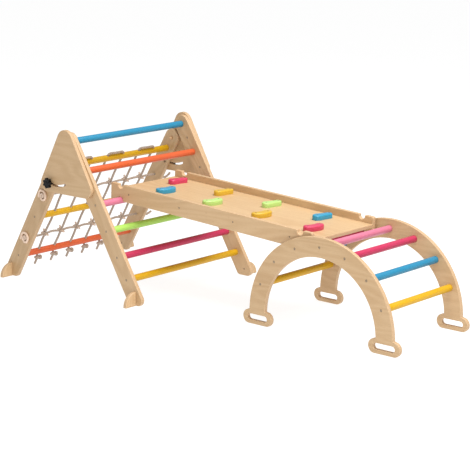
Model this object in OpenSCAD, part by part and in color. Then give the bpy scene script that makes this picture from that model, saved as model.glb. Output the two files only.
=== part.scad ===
// Toddler climbing set: a folding climbing triangle, a reversible ramp and an arch.
// The ramp hooks over a rung of the triangle and over a rung of the arch.
// Millimetres, +Z up, +X from the triangle towards the arch, origin under the middle of the set.

/* [Climbing triangle] */
// Lean of the legs from upright, in degrees
leg_lean = 31.2; // [28:0.1:34]
// Height above the floor at which the leg centre lines meet
apex_h = 685; // [570:1:815]
// Width over the outer faces of the ladder legs
frame_w = 728; // [604:1:866]
// Width of a leg board
leg_w = 84; // [70:1:100]
// Thickness of a leg board
leg_t = 18; // [15:0.5:21.5]
// Corner radius at the outer edge of a leg's sole
sole_outer_r = 25; // [12:1:30]
// Corner radius at the inner edge of a leg's sole
sole_inner_r = 24; // [6:1:30]
// Radius of the quarter-round foot plates
foot_r = 62; // [50:1:72]
// Thickness of a foot plate
foot_t = 18; // [14:0.5:22]
// Distance of a foot plate's middle from the centre of the sole's outer rounding
foot_set = 16; // [8:1:24]
// Height of a foot plate's screw above the floor
foot_screw_h = 31; // [18:1:36]

/* [Rungs of the triangle] */
// Diameter of every rung
rung_d = 30; // [25:0.5:36]
// Distance of the first rung from the apex, along a leg
first_rung_at = 20; // [16:1:26]
// Height of the sixth rung above the floor
last_rung_h = 103.4; // [90:0.1:120]
// How far the second rung sits below its place in an even row of six
rung_2_shift = 13; // [-20:1:30]
// How far the third rung, which the ramp hooks over, sits below its even place
rung_3_shift = 41; // [0:1:48]
// How far the fourth rung sits below its even place
rung_4_shift = 34; // [0:1:44]
// How far the fifth rung sits below its even place
rung_5_shift = 26; // [0:1:36]

/* [Head plates and fold] */
// Thickness of a head plate
plate_t = 18; // [15:0.5:21.5]
// Distance of a head plate's lower edge below the apex
plate_drop = 252; // [210:1:300]
// How much larger the radius of a head plate's nose is than half a leg's width
nose_extra = 7; // [4:0.5:10]
// Radius of a head plate's lower corners
plate_corner_r = 38; // [30:1:42]
// How far the lower corners of a head plate stand inside the outer edges of the legs
plate_corner_in = 9; // [0:0.5:12]
// Distance of the upper plate bolts from the apex, along the ladder leg
plate_bolt_at = 92; // [75:1:110]
// Height of the lower plate bolts above the plate's lower edge
plate_bolt_edge = 42; // [34:1:50]
// Depth of the plate bolts in a head plate
plate_grip = 12; // [8:0.5:14]
// Gap between the round top of a rope leg and the edge of the ladder leg
leg_room = 9; // [6:0.5:14]
// Diameter of the pivot bolts
pivot_d = 8; // [6:0.5:10]
// Diameter of a pivot bolt's head
pivot_head_d = 16; // [14:0.5:20]
// Height of a pivot bolt's head
pivot_head_h = 5; // [4:0.5:7]
// Distance of the arc slot's lowest point from the plate's lower edge
slot_edge = 34; // [28:1:42]
// Width of the arc slot
slot_w = 10; // [10:0.5:14]
// How far the rope side folds towards the ladder, in degrees
fold_range = 45; // [40:1:55]

/* [Clamp knobs] */
// Angle about the pivot from a rope leg's centre line in to its clamp knob, in degrees
clamp_turn = 10; // [6:0.5:12]
// Diameter of the stud moulded into a knob
stud_d = 8; // [6:0.5:9]
// Length of the insert past the end of the stud
stud_room = 2; // [1:0.5:4]
// Outer diameter of the threaded insert
insert_d = 12; // [11:0.5:16]
// Length of the threaded insert
insert_len = 13; // [10.5:0.5:14.5]
// Diameter of a knob's star over its lobes
star_d = 48; // [42:1:54]
// Thickness of a knob's star
star_h = 16; // [12:1:22]
// Number of lobes on a knob
star_lobes = 7; // [5:1:8]
// Diameter of a lobe
lobe_d = 13; // [10:0.5:15]
// Diameter of a knob's hub
hub_d = 24; // [20:1:28]
// Height of a knob's hub between plate and star
hub_h = 8; // [6:0.5:12]

/* [Rope net] */
// Diameter of the rope
rope_d = 11; // [6:0.5:13]
// Distance of the outermost strands from the legs' inner faces
rope_edge = 98; // [62:0.5:112]
// Bend radius of the rope where it crosses over the top rung
rope_bend = 12; // [10:0.5:16]
// Diameter of the knots where the ropes cross
knot_d = 30; // [20:0.5:36]
// Diameter of the stopper knots under the bottom rung
stopper_d = 34; // [22:0.5:40]
// Height of those stopper knots
stopper_h = 21; // [16:0.5:25]
// How far a stopper knot and its tail hang inwards of their strand
stopper_set = 9; // [0:0.5:10]
// Diameter of the stopper knots outside the legs
end_knot_d = 48; // [35:1:56]
// Thickness of the turn in those end knots
end_knot_t = 16; // [13:0.5:18]
// Gap between a head plate's lower edge and the end knot below it
end_knot_room = 2; // [1:0.5:12]
// Length of rope left below each stopper knot
strand_tail = 32; // [20:1:45]
// Length of rope left outside the rear end knots
cross_tail = 38; // [10:1:45]

/* [Ramp] */
// Distance between the hook notches at the two ends
notch_spacing = 1019; // [850:1:1216]
// Length of the rails past each notch
ramp_past = 60; // [50:1:74]
// Width over the rails
ramp_w = 424; // [352:1:504]
// Thickness of a rail
rail_t = 18; // [15:0.5:22]
// Gap between the board and a hooked rung
board_room = 11.5; // [3:0.5:14]
// Corner radius of the rails
rail_corner_r = 8; // [4:1:12]
// Height of a hooked rung's centre above the rail's lower edge
notch_deep = 4; // [2:0.5:12]
// Thickness of the board
board_t = 15; // [12.5:0.5:18]
// Distance of the first rail screw from the first notch
rail_screw_first = 50; // [30:1:60]
// Distance of the last rail screw from the last notch
rail_screw_last = 53; // [30:1:80]

/* [Climbing holds] */
// Distance of the first hold from the first notch
hold_first = 50; // [40:1:70]
// Distance of the last hold from the last notch
hold_last = 36; // [30:1:70]
// How far the front column is shifted along the ramp
hold_shift = 98; // [75:1:110]
// Distance of the rear column from the rear rail
hold_rear_edge = 90; // [70:1:96]
// Distance of the front column from the front rail
hold_front_edge = 121; // [110:1:150]
// Height of a hold
hold_h = 22; // [18:1:28]
// Distance between the two screws of a hold
hold_screw_pitch = 64; // [56:1:70]
// Width of a bean-shaped hold
bean_w = 37; // [32:1:42]
// Bend radius of a bean-shaped hold
bean_bend = 76; // [60:1:100]
// Radius of the thick end of a wave-shaped hold
wave_thick_r = 20; // [17:0.5:22]
// Radius of the thin end of a wave-shaped hold
wave_thin_r = 15; // [12:0.5:17]
// Offset of a wave's ends along the ramp
wave_offset = 6; // [3:0.5:10]
// Turn of a bean-shaped hold towards the arch, in degrees
bean_turn = 10; // [0:1:15]

/* [Arch] */
// Gap between a ramp rail and the arch panel beside it
arch_play = 12; // [6:0.5:20]
// Thickness of an arch panel
arch_t = 18; // [15:0.5:21.5]
// Height of the arch's centre above the floor
arch_centre_h = 53; // [44:1:62]
// Outer radius of an arch panel
arch_outer_r = 363; // [310:1:444]
// Width of an arch panel's ring
arch_band_w = 83; // [69:1:99]
// Angle between neighbouring arch rungs, in degrees
arch_step = 22.2; // [20:0.1:23]
// How far the centre of the row of arch rungs lies below the ring's centre
arch_row_drop = 10; // [0:0.5:14]
// Length of an arch foot
arch_foot_l = 151; // [130:1:180]
// Height of an arch foot
arch_foot_h = 59; // [49:1:70]
// Length of the hand slot in an arch foot
hand_slot_l = 103; // [86:1:115]
// Height of the hand slot
hand_slot_h = 25; // [20:1:30]

/* [Fasteners and clearances] */
// Diameter of the rung bolts
bolt_d = 6; // [5:0.5:7]
// Diameter of a bolt head
bolt_head_d = 11; // [9.5:0.5:13]
// Height of a bolt head
bolt_head_h = 4; // [3:0.5:6]
// Depth of a rung bolt in its rung
bolt_grip = 42; // [30:1:60]
// Depth of a bolt head below the wood's face
head_sink = 0.3; // [0.1:0.1:1]
// Width across the corners of a bolt's hex socket
socket_d = 5; // [4:0.5:6]
// Diameter of the wood screws
screw_d = 4; // [3:0.5:5]
// Diameter of a wood screw's head
screw_head_d = 8; // [7:0.5:9]
// Height of a wood screw's head
screw_head_h = 3; // [2:0.5:4]
// Depth of a rail screw in the board
screw_grip = 32; // [20:1:45]
// Depth of a hold screw in the board
hold_grip = 11; // [7:0.5:11.5]
// Depth of a foot screw in its plate
foot_grip = 30; // [20:1:40]
// Gap round a bolt, screw or insert in its hole
hole_gap = 0.1; // [0.05:0.05:0.3]
// Radial clearance of the pivot bolts and clamp studs
run_gap = 0.05; // [0.02:0.01:0.09]
// Gap between a rope leg and its head plate
fold_gap = 0.5; // [0.3:0.1:0.8]
// Gap under a knob and under a pivot bolt's head
knob_gap = 0.3; // [0.2:0.1:0.6]
// Gap between a hook notch and its rung
hook_gap = 0.3; // [0.3:0.1:1]
// Gap round a rope in its hole
rope_gap = 0.3; // [0.2:0.1:0.6]

/* [Hidden] */
$fn = 96;
HEX = 6;
OVER = 1;
DOWN = 270;
FRONT = -1;
REAR = 1;
SIDES = [FRONT, REAR];

WOOD = [0.84, 0.69, 0.51];
STEEL = [0.62, 0.62, 0.63];
BLACK = [0.07, 0.07, 0.07];
CORD = [0.75, 0.64, 0.52];
BLUE = [0.25, 0.66, 0.84];
YELLOW = [0.98, 0.76, 0.18];
ORANGE = [0.96, 0.43, 0.25];
PINK = [0.96, 0.57, 0.71];
GREEN = [0.65, 0.84, 0.39];
MAGENTA = [0.88, 0.24, 0.39];

ladder_colours = [BLUE, ORANGE, PINK, GREEN, MAGENTA, YELLOW];
rope_rung_colours = [YELLOW, YELLOW, ORANGE];
arch_colours = [YELLOW, BLUE, MAGENTA, PINK, MAGENTA, BLUE, YELLOW];
hold_colours = [MAGENTA, BLUE, YELLOW, GREEN, GREEN, YELLOW, BLUE, MAGENTA];

rung_shifts = [0, rung_2_shift, rung_3_shift, rung_4_shift, rung_5_shift, 0];
last_rung_at = (apex_h - last_rung_h) / cos(leg_lean);
even_step = (last_rung_at - first_rung_at) / (len(rung_shifts) - 1);
places = [for (i = [0:len(rung_shifts) - 1]) first_rung_at + i * even_step + rung_shifts[i]];
half_leg = leg_w / 2;
ladder_face = frame_w / 2;
ladder_inside = ladder_face - leg_t;
rope_face = ladder_face - fold_gap;
rope_inside = rope_face - leg_t;
plate_face = ladder_face + plate_t;
strands = 6;
net_ropes = strands / 2;
rope_pitch = 2 * (rope_inside - rope_edge) / (strands - 1);

// Side view point at distance s from the apex on a leg's centre line, moved a distance out across the leg
function on_leg(s, out = 0) =
    [s * sin(leg_lean) + out * cos(leg_lean), apex_h - s * cos(leg_lean) + out * sin(leg_lean)];

// Distance from the apex at which a circle of radius r, moved out across the leg, touches the floor
function floor_place(r, out) = (apex_h + out * sin(leg_lean) - r) / cos(leg_lean);

function sole_outer() = on_leg(floor_place(sole_outer_r, half_leg - sole_outer_r), half_leg - sole_outer_r);
function sole_inner() = on_leg(floor_place(sole_inner_r, sole_inner_r - half_leg), sole_inner_r - half_leg);

plate_low_h = apex_h - plate_drop;
plate_nose_r = half_leg + nose_extra;
plate_nose = [0, apex_h - nose_extra / sin(leg_lean)];
plate_corner_out = half_leg - plate_corner_r - plate_corner_in;
plate_corner_place =
    (plate_drop - plate_corner_r + plate_corner_out * sin(leg_lean)) / cos(leg_lean);
plate_corner = on_leg(plate_corner_place, plate_corner_out);
plate_bolt_places = [plate_bolt_at, (plate_drop - plate_bolt_edge) / cos(leg_lean)];

pivot_at = (leg_w + leg_room) / sin(2 * leg_lean);
pivot = on_leg(pivot_at);
slot_step = 0.5;
slot_r = slot_step * round((pivot[1] - plate_low_h - slot_edge) / slot_step);
clamp_dir = DOWN + leg_lean - clamp_turn;
clamp = pivot + slot_r * [cos(clamp_dir), sin(clamp_dir)];
slot_from = DOWN - leg_lean + clamp_turn;
stud_grip = insert_len - stud_room;
foot_at = [sole_outer()[0] - foot_set, foot_screw_h];

rope_rung_places = [places[1], places[3], places[5]];
cross_upper = (plate_drop + end_knot_d / 2 + end_knot_room) / cos(leg_lean);
cross_places = [cross_upper, places[4]];
strand_top = rope_rung_places[0] - rung_d / 2 - rope_gap - rope_bend;
stopper_at = rope_rung_places[2] + rung_d / 2 + rope_gap + stopper_h / 2;
strand_end = stopper_at + stopper_h / 2 + strand_tail;

arch_mid_r = arch_outer_r - arch_band_w / 2;
arch_end = asin((arch_centre_h - arch_foot_h / 2) / arch_mid_r);
arch_foot_x = arch_mid_r * cos(arch_end);
arch_row_r = arch_mid_r + arch_row_drop;
arch_row_h = arch_centre_h - arch_row_drop;
arch_inside = ramp_w / 2 + arch_play;
arch_face = arch_inside + arch_t;
arch_rungs = 7;
arch_top_rung = (arch_rungs + 1) / 2;
arch_hook_rung = arch_top_rung - 1;

// Place of an arch rung in the arch's own side view
function arch_rung_at(i) =
    [arch_row_r * sin((i - arch_top_rung) * arch_step),
     arch_row_h + arch_row_r * cos((i - arch_top_rung) * arch_step)];

hook = on_leg(places[2]);
hook_drop = hook[1] - arch_rung_at(arch_hook_rung)[1];
ramp_tilt = asin(hook_drop / notch_spacing);
arch_x = hook[0] + notch_spacing * cos(ramp_tilt) - arch_rung_at(arch_hook_rung)[0];

set_left = -sole_outer()[0] - sole_outer_r;
set_right = arch_x + arch_foot_x + arch_foot_l / 2;
set_shift = -(set_left + set_right) / 2;

notch_r = rung_d / 2 + hook_gap;
rail_h = 2 * (notch_deep + rung_d / 2 + board_room) + board_t;
rail_low = -notch_deep;
rail_top = rail_low + rail_h;
rail_mid = rail_low + rail_h / 2;
board_top = rail_mid + board_t / 2;
board_w = ramp_w - 2 * rail_t;
rail_screws = 4;
rail_screw_pitch = (notch_spacing - rail_screw_first - rail_screw_last) / (rail_screws - 1);
holds = 8;
hold_rows = holds / 2;
hold_pitch = (notch_spacing - hold_first - hold_shift - hold_last) / (hold_rows - 1);
bean_sweep = asin(hold_screw_pitch / 2 / bean_bend);

// Moves a piece drawn about the triangle's apex to its place in the set
module in_set() {
    translate([set_shift, 0, 0]) children();
}

// Moves a piece drawn in the arch's own frame to its place in the set
module in_arch() {
    translate([set_shift + arch_x, 0, 0]) children();
}

// Moves a piece drawn about the first notch, with the rails along X, to its place in the set
module in_ramp() {
    translate([set_shift + hook[0], 0, hook[1]]) rotate([0, ramp_tilt, 0]) children();
}

// Leans a piece that is drawn straight down from the apex into the plane of the rope legs
module along_rope_leg() {
    in_set() translate([0, 0, apex_h]) rotate([0, leg_lean, 0]) children();
}

// Stands a side view up as a board from y to y + t
module board_at(y, t) {
    translate([0, y + t, 0]) rotate([90, 0, 0]) linear_extrude(t) children();
}

// A board of thickness t inside the face at distance y from the middle, on either side
module side_board(side, y, t) {
    board_at(side == FRONT ? -y : y - t, t) children();
}

// Turns a fastener drawn along +Z to run inwards from the face at distance y
module inwards(side, p, y) {
    translate([p[0], side * y, p[1]]) rotate([side * 90, 0, 0]) children();
}

// Turns a fastener drawn along +Z to run outwards from the face at distance y
module outwards(side, p, y) {
    translate([p[0], side * y, p[1]]) rotate([-side * 90, 0, 0]) children();
}

// A round bar along Y between two faces at distance y from the middle
module bar(p, d, y) {
    translate([p[0], -y, p[1]]) rotate([-90, 0, 0]) cylinder(d = d, h = 2 * y);
}

// Unit normal of the outer tangent from one circle to the next, on the right of the way
function tangent_normal(a, ra, b, rb) =
    let (way = (b - a) / norm(b - a), k = (ra - rb) / norm(b - a))
    sqrt(1 - k * k) * [way[1], -way[0]] + k * way;

// Outline round circles that are listed anticlockwise
module rounded_loop(centres, radii) {
    n = len(centres);
    polygon([for (i = [0:n - 1], end = [0, 1])
        let (j = (i + 1) % n, m = tangent_normal(centres[i], radii[i], centres[j], radii[j]))
        end == 0 ? centres[i] + radii[i] * m : centres[j] + radii[j] * m]);
    for (i = [0:n - 1]) translate(centres[i]) circle(r = radii[i]);
}

// Straight slot or foot with round ends, centred at p
module stadium(p, l, h) {
    translate(p) square([l - h, h], center = true);
    for (s = [-1, 1]) translate(p + [s * (l - h) / 2, 0]) circle(d = h);
}

// Part of a ring of mean radius r and width w between two angles
module arc_band(r, w, from, to) {
    parts = 4;
    reach = (r + w) / cos((to - from) / parts / 2);
    intersection() {
        difference() {
            circle(r = r + w / 2);
            circle(r = r - w / 2);
        }
        polygon(concat([[0, 0]], [for (i = [0:parts])
            let (a = from + (to - from) * i / parts) reach * [cos(a), sin(a)]]));
    }
}

// Ring part with round ends
module round_band(r, w, from, to) {
    arc_band(r, w, from, to);
    for (a = [from, to]) translate(r * [cos(a), sin(a)]) circle(d = w);
}

// Headed fastener along +Z from the wood's face, with a hex socket
module fastener(d, head_d, head_h, reach) {
    difference() {
        union() {
            translate([0, 0, head_sink]) cylinder(d = head_d, h = head_h);
            translate([0, 0, head_sink]) cylinder(d = d, h = reach - head_sink);
        }
        translate([0, 0, head_sink - OVER]) cylinder(d = socket_d, h = head_h / 2 + OVER, $fn = HEX);
    }
}

// Counterbored hole that takes the fastener
module fastener_hole(d, head_d, head_h, reach) {
    translate([0, 0, -OVER]) cylinder(d = head_d + 2 * hole_gap, h = head_sink + head_h + OVER);
    cylinder(d = d + 2 * hole_gap, h = reach + hole_gap);
}

module bolt(reach) {
    fastener(bolt_d, bolt_head_d, bolt_head_h, reach);
}

module bolt_hole(reach) {
    fastener_hole(bolt_d, bolt_head_d, bolt_head_h, reach);
}

module screw(reach) {
    fastener(screw_d, screw_head_d, screw_head_h, reach);
}

module screw_hole(reach) {
    fastener_hole(screw_d, screw_head_d, screw_head_h, reach);
}

// Side view of a leg board that leans out to +X, rounded at its top about a place on its centre line
module leg_outline(top_place) {
    rounded_loop([on_leg(top_place), sole_inner(), sole_outer()], [half_leg, sole_inner_r, sole_outer_r]);
}

module plate_outline() {
    difference() {
        rounded_loop([plate_nose, [-plate_corner[0], plate_corner[1]], plate_corner],
            [plate_nose_r, plate_corner_r, plate_corner_r]);
        translate([-pivot[0], pivot[1]]) round_band(slot_r, slot_w, slot_from, slot_from + fold_range);
    }
}

module ladder_leg(side) {
    color(WOOD) in_set() difference() {
        side_board(side, ladder_face, leg_t) leg_outline(first_rung_at);
        for (s = places) inwards(side, on_leg(s), ladder_face) bolt_hole(leg_t + OVER);
        for (s = plate_bolt_places) outwards(side, on_leg(s), ladder_inside) bolt_hole(leg_t + OVER);
        outwards(side, foot_at, ladder_inside) screw_hole(leg_t + OVER);
    }
}

module head_plate(side) {
    color(WOOD) in_set() difference() {
        side_board(side, plate_face, plate_t) plate_outline();
        for (s = plate_bolt_places) outwards(side, on_leg(s), ladder_inside) bolt_hole(leg_t + plate_grip);
        outwards(side, [-pivot[0], pivot[1]], ladder_face - OVER)
            cylinder(d = pivot_d + 2 * hole_gap, h = plate_grip + hole_gap + OVER);
    }
}

module ladder_rung(i) {
    p = on_leg(places[i - 1]);
    color(ladder_colours[i - 1]) in_set() difference() {
        bar(p, rung_d, ladder_inside);
        for (side = SIDES) inwards(side, p, ladder_face) bolt_hole(leg_t + bolt_grip);
    }
}

module ladder_rung_bolts() {
    color(STEEL) in_set() for (side = SIDES, s = places)
        inwards(side, on_leg(s), ladder_face) bolt(leg_t + bolt_grip);
}

module head_plate_bolts() {
    color(STEEL) in_set() for (side = SIDES, s = plate_bolt_places)
        outwards(side, on_leg(s), ladder_inside) bolt(leg_t + plate_grip);
}

// Bolt through the rope leg into the head plate, with its head inside the rope leg
module pivot_bolts() {
    head_face = rope_inside - knob_gap;
    color(STEEL) in_set() for (side = SIDES) outwards(side, [-pivot[0], pivot[1]], head_face) {
        translate([0, 0, -pivot_head_h]) difference() {
            cylinder(d = pivot_head_d, h = pivot_head_h);
            translate([0, 0, -OVER]) cylinder(d = socket_d, h = pivot_head_h / 2 + OVER, $fn = HEX);
        }
        cylinder(d = pivot_d, h = ladder_face + plate_grip - head_face);
    }
}

// Quarter-round plate that stands square on the outer face of a leg
module foot_plate(side, y) {
    difference() {
        intersection() {
            translate([foot_at[0] - foot_t / 2, side * y, 0]) rotate([0, 90, 0]) cylinder(r = foot_r, h = foot_t);
            side_board(side, y + foot_r, foot_r) translate([foot_at[0] - foot_t, 0]) square([2 * foot_t, foot_r]);
        }
        outwards(side, foot_at, y - leg_t) screw_hole(leg_t + foot_grip);
    }
}

module ladder_foot(side) {
    color(WOOD) in_set() foot_plate(side, ladder_face);
}

module rope_foot(side) {
    color(WOOD) in_set() mirror([1, 0, 0]) foot_plate(side, rope_face);
}

module ladder_foot_screws() {
    color(STEEL) in_set() for (side = SIDES)
        outwards(side, foot_at, ladder_inside) screw(leg_t + foot_grip);
}

module rope_foot_screws() {
    color(STEEL) in_set() mirror([1, 0, 0]) for (side = SIDES)
        outwards(side, foot_at, rope_inside) screw(leg_t + foot_grip);
}

module rope_leg(side) {
    color(WOOD) in_set() mirror([1, 0, 0]) difference() {
        side_board(side, rope_face, leg_t) leg_outline(pivot_at);
        bar(pivot, pivot_d + 2 * run_gap, ladder_face);
        inwards(side, clamp, rope_face + OVER) cylinder(d = insert_d + 2 * hole_gap, h = insert_len + OVER);
        for (s = rope_rung_places) inwards(side, on_leg(s), rope_face) bolt_hole(leg_t + OVER);
        for (s = cross_places) bar(on_leg(s), rope_d + 2 * rope_gap, ladder_face);
        outwards(side, foot_at, rope_inside) screw_hole(leg_t + OVER);
    }
}

// Distance of a strand from the middle of the net
function strand_y(i) = (i - (strands + 1) / 2) * rope_pitch;

module rope_rung(k) {
    s = rope_rung_places[k];
    color(rope_rung_colours[k]) along_rope_leg() difference() {
        bar([0, -s], rung_d, rope_inside);
        for (side = SIDES) inwards(side, [0, -s], rope_face) bolt_hole(leg_t + bolt_grip);
        for (i = [1:strands]) translate([0, strand_y(i), -s])
            cylinder(d = rope_d + 2 * rope_gap, h = rung_d + OVER, center = true);
    }
}

module rope_rung_bolts() {
    color(STEEL) along_rope_leg() for (side = SIDES, s = rope_rung_places)
        inwards(side, [0, -s], rope_face) bolt(leg_t + bolt_grip);
}

// Quarter bend of rope that leads a strand at y into the run over the top rung
module rope_elbow(y, way) {
    translate([0, y + way * rope_bend, -strand_top - rope_bend]) rotate([0, -90, 0])
        rotate_extrude(angle = -way * 90) translate([rope_bend, 0]) circle(d = rope_d);
}

// Flat round stopper knot
module stopper_knot() {
    rotate_extrude() intersection() {
        stadium([0, 0], stopper_d, stopper_h);
        translate([0, -stopper_h]) square([stopper_d, 2 * stopper_h]);
    }
}

// One rope: two strands joined by a run over the top rung, with knots at the crossings and stoppers below
module net_rope(k) {
    first = strand_y(2 * k - 1);
    last = strand_y(2 * k);
    color(CORD) along_rope_leg() difference() {
        union() {
            for (y = [first, last]) {
                translate([0, y, -stopper_at]) cylinder(d = rope_d, h = stopper_at - strand_top - rope_bend);
                translate([stopper_set, y, -stopper_at]) stopper_knot();
                translate([stopper_set, y, -strand_end]) cylinder(d = rope_d, h = strand_end - stopper_at);
                for (s = cross_places) translate([0, y, -s]) sphere(d = knot_d);
            }
            rope_elbow(first, 1);
            rope_elbow(last, -1);
            translate([0, first + rope_bend, -strand_top]) rotate([-90, 0, 0])
                cylinder(d = rope_d, h = last - first - 2 * rope_bend);
        }
        for (s = cross_places) bar([0, -s], rope_d + 2 * rope_gap, ladder_face);
    }
}

// Rope through both legs, with a turned stopper knot outside each and a tail at the rear
module cross_rope(s) {
    knot_face = rope_face + rope_gap;
    turn_r = (end_knot_d - end_knot_t) / 2;
    color(CORD) along_rope_leg() {
        translate([0, -knot_face - end_knot_t / 2, -s]) rotate([-90, 0, 0])
            cylinder(d = rope_d, h = 2 * knot_face + 3 * end_knot_t / 2 + cross_tail);
        for (side = SIDES) translate([0, side * (knot_face + end_knot_t / 2), -s]) rotate([90, 0, 0]) {
            rotate_extrude() translate([turn_r, 0]) circle(d = end_knot_t);
            cylinder(r = turn_r, h = end_knot_t / 2, center = true);
        }
    }
}

module clamp_inserts() {
    color(STEEL) in_set() for (side = SIDES) inwards(side, [-clamp[0], clamp[1]], rope_face) difference() {
        cylinder(d = insert_d, h = insert_len);
        translate([0, 0, -OVER]) cylinder(d = stud_d + 2 * run_gap, h = insert_len + 2 * OVER);
    }
}

// Star knob with its stud, which runs through the arc slot into the insert
module clamp_knob(side) {
    lobe_ring = (star_d - lobe_d) / 2;
    color(BLACK) in_set() outwards(side, [-clamp[0], clamp[1]], plate_face + knob_gap) {
        translate([0, 0, hub_h]) linear_extrude(star_h) {
            circle(r = lobe_ring);
            for (i = [1:star_lobes])
                rotate(i * 360 / star_lobes) translate([lobe_ring, 0]) circle(d = lobe_d);
        }
        cylinder(d = hub_d, h = hub_h);
        translate([0, 0, -(plate_face + knob_gap - rope_face) - stud_grip])
            cylinder(d = stud_d, h = plate_face + knob_gap - rope_face + stud_grip);
    }
}

// Open-ended notch over a rung, drawn with its mouth towards -Y
module notch() {
    circle(r = notch_r);
    translate([-notch_r, -rail_h]) square([2 * notch_r, rail_h]);
}

module rail_outline() {
    left = -ramp_past + rail_corner_r;
    right = notch_spacing + ramp_past - rail_corner_r;
    low = rail_low + rail_corner_r;
    high = rail_top - rail_corner_r;
    difference() {
        rounded_loop([[left, low], [right, low], [right, high], [left, high]],
            [for (i = [1:4]) rail_corner_r]);
        for (x = [0, notch_spacing]) {
            translate([x, 0]) notch();
            translate([x, 2 * rail_mid]) mirror([0, 1]) notch();
        }
    }
}

function rail_screw_at(i) = [rail_screw_first + i * rail_screw_pitch, rail_mid];

module ramp_rail(side) {
    color(WOOD) in_ramp() difference() {
        side_board(side, ramp_w / 2, rail_t) rail_outline();
        for (i = [0:rail_screws - 1]) inwards(side, rail_screw_at(i), ramp_w / 2) screw_hole(rail_t + OVER);
    }
}

module ramp_rail_screws() {
    color(STEEL) in_ramp() for (side = SIDES, i = [0:rail_screws - 1])
        inwards(side, rail_screw_at(i), ramp_w / 2) screw(rail_t + screw_grip);
}

// Holds stand in two columns: odd ones are waves in the rear column, even ones beans in the front column
function hold_is_wave(i) = i % 2 == 1;
function hold_at(i) =
    let (row = floor((i - 1) / 2))
    [hold_first + row * hold_pitch + (hold_is_wave(i) ? 0 : hold_shift),
     hold_is_wave(i) ? board_w / 2 - hold_rear_edge : hold_front_edge - board_w / 2];

module bean_outline() {
    rotate(-bean_turn) translate([-bean_bend, 0]) round_band(bean_bend, bean_w, -bean_sweep, bean_sweep);
}

module wave_outline() {
    thick = [-wave_offset, -hold_screw_pitch / 2];
    thin = [wave_offset, hold_screw_pitch / 2];
    rounded_loop([thick, [0, 0]], [wave_thick_r, wave_thin_r]);
    rounded_loop([[0, 0], thin], [wave_thin_r, wave_thin_r]);
}

// Screw places of a hold in its own frame
function hold_screw_at(i, end) = hold_is_wave(i)
    ? [end * wave_offset, end * hold_screw_pitch / 2]
    : bean_bend * [cos(end * bean_sweep - bean_turn) - cos(bean_turn),
        sin(end * bean_sweep - bean_turn) + sin(bean_turn)];

// Runs a screw from the top of a hold down into the board
module at_hold_screws(i) {
    for (end = [-1, 1]) translate(concat(hold_at(i) + hold_screw_at(i, end), [board_top + hold_h]))
        rotate([180, 0, 0]) children();
}

module hold(i) {
    color(hold_colours[i - 1]) in_ramp() difference() {
        translate(concat(hold_at(i), [board_top])) linear_extrude(hold_h)
            if (hold_is_wave(i)) wave_outline(); else bean_outline();
        at_hold_screws(i) screw_hole(hold_h + OVER);
    }
}

module hold_screws() {
    color(STEEL) in_ramp() for (i = [1:holds]) at_hold_screws(i) screw(hold_h + hold_grip);
}

module ramp_board() {
    color(WOOD) in_ramp() difference() {
        translate([-ramp_past, -board_w / 2, rail_mid - board_t / 2])
            cube([notch_spacing + 2 * ramp_past, board_w, board_t]);
        for (side = SIDES, i = [0:rail_screws - 1])
            inwards(side, rail_screw_at(i), ramp_w / 2) screw_hole(rail_t + screw_grip);
        for (i = [1:holds]) at_hold_screws(i) screw_hole(hold_h + hold_grip);
    }
}

// Ring that runs on below its centre to two feet, each with a hand slot
module arch_outline() {
    difference() {
        union() {
            translate([0, arch_centre_h]) arc_band(arch_mid_r, arch_band_w, -arch_end, 180 + arch_end);
            for (s = [-1, 1]) stadium([s * arch_foot_x, arch_foot_h / 2], arch_foot_l, arch_foot_h);
        }
        for (s = [-1, 1]) stadium([s * arch_foot_x, arch_foot_h / 2], hand_slot_l, hand_slot_h);
    }
}

module arch_panel(side) {
    color(WOOD) in_arch() difference() {
        side_board(side, arch_face, arch_t) arch_outline();
        for (i = [1:arch_rungs]) inwards(side, arch_rung_at(i), arch_face) bolt_hole(arch_t + OVER);
    }
}

module arch_rung(i) {
    color(arch_colours[i - 1]) in_arch() difference() {
        bar(arch_rung_at(i), rung_d, arch_inside);
        for (side = SIDES) inwards(side, arch_rung_at(i), arch_face) bolt_hole(arch_t + bolt_grip);
    }
}

module arch_rung_bolts() {
    color(STEEL) in_arch() for (side = SIDES, i = [1:arch_rungs])
        inwards(side, arch_rung_at(i), arch_face) bolt(arch_t + bolt_grip);
}

ladder_leg(FRONT);  // ladder_leg_front
ladder_leg(REAR);  // ladder_leg_rear
head_plate(FRONT);  // head_plate_front
head_plate(REAR);  // head_plate_rear
for (i = [1:len(places)]) ladder_rung(i);
ladder_foot(FRONT);  // ladder_foot_front
ladder_foot(REAR);  // ladder_foot_rear
ladder_rung_bolts();
head_plate_bolts();
pivot_bolts();
ladder_foot_screws();
rope_leg(FRONT);  // rope_leg_front
rope_leg(REAR);  // rope_leg_rear
rope_rung(0);  // rope_rung_top
rope_rung(1);  // rope_rung_middle
rope_rung(2);  // rope_rung_bottom
rope_foot(FRONT);  // rope_foot_front
rope_foot(REAR);  // rope_foot_rear
for (i = [1:net_ropes]) net_rope(i);
cross_rope(cross_places[0]);  // cross_rope_upper
cross_rope(cross_places[1]);  // cross_rope_lower
rope_rung_bolts();
rope_foot_screws();
clamp_inserts();
clamp_knob(FRONT);  // clamp_knob_front
clamp_knob(REAR);  // clamp_knob_rear
ramp_board();
ramp_rail(FRONT);  // ramp_rail_front
ramp_rail(REAR);  // ramp_rail_rear
for (i = [1:holds]) hold(i);
hold_screws();
ramp_rail_screws();
arch_panel(FRONT);  // arch_panel_front
arch_panel(REAR);  // arch_panel_rear
for (i = [1:arch_rungs]) arch_rung(i);
arch_rung_bolts();
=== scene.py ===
"""Climbing set: a folding triangle with a ladder side and a rope side, a ramp with climbing holds, and an
arch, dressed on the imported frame."""

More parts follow.
